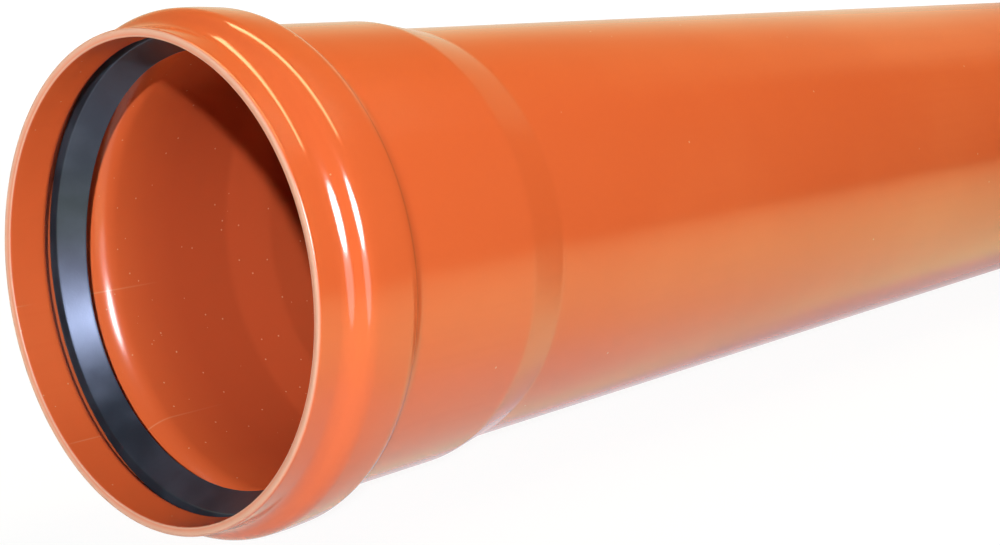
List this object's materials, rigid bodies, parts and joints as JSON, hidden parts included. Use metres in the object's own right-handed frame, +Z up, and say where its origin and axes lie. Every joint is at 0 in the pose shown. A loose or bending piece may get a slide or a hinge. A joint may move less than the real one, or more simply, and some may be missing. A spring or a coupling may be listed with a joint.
{
  "type": "pvc pipe",
  "caption": "Orange-brown rigid PVC drain pipe lying on its side, with a formed push-fit socket, raised seal bead, black rubber lip seal and chamfered spigot end.",
  "frame": {"origin": "on the floor, under the middle of the pipe's bounding box", "axes": "+X along the pipe from the socket's mouth to the spigot, +Z up; the axis leans 0.55 degrees because the pipe rests on its socket bead and on its spigot end"},
  "size_m": [1.1014, 0.1803, 0.1804],
  "materials": {
    "pipe": "smooth extruded PVC, semi-gloss orange-brown",
    "seal_ring": "satin black rubber"
  },
  "bodies": {
    "root": {"pipe": "pipe", "seal_ring": "seal_ring"}
  },
  "joints": []
}
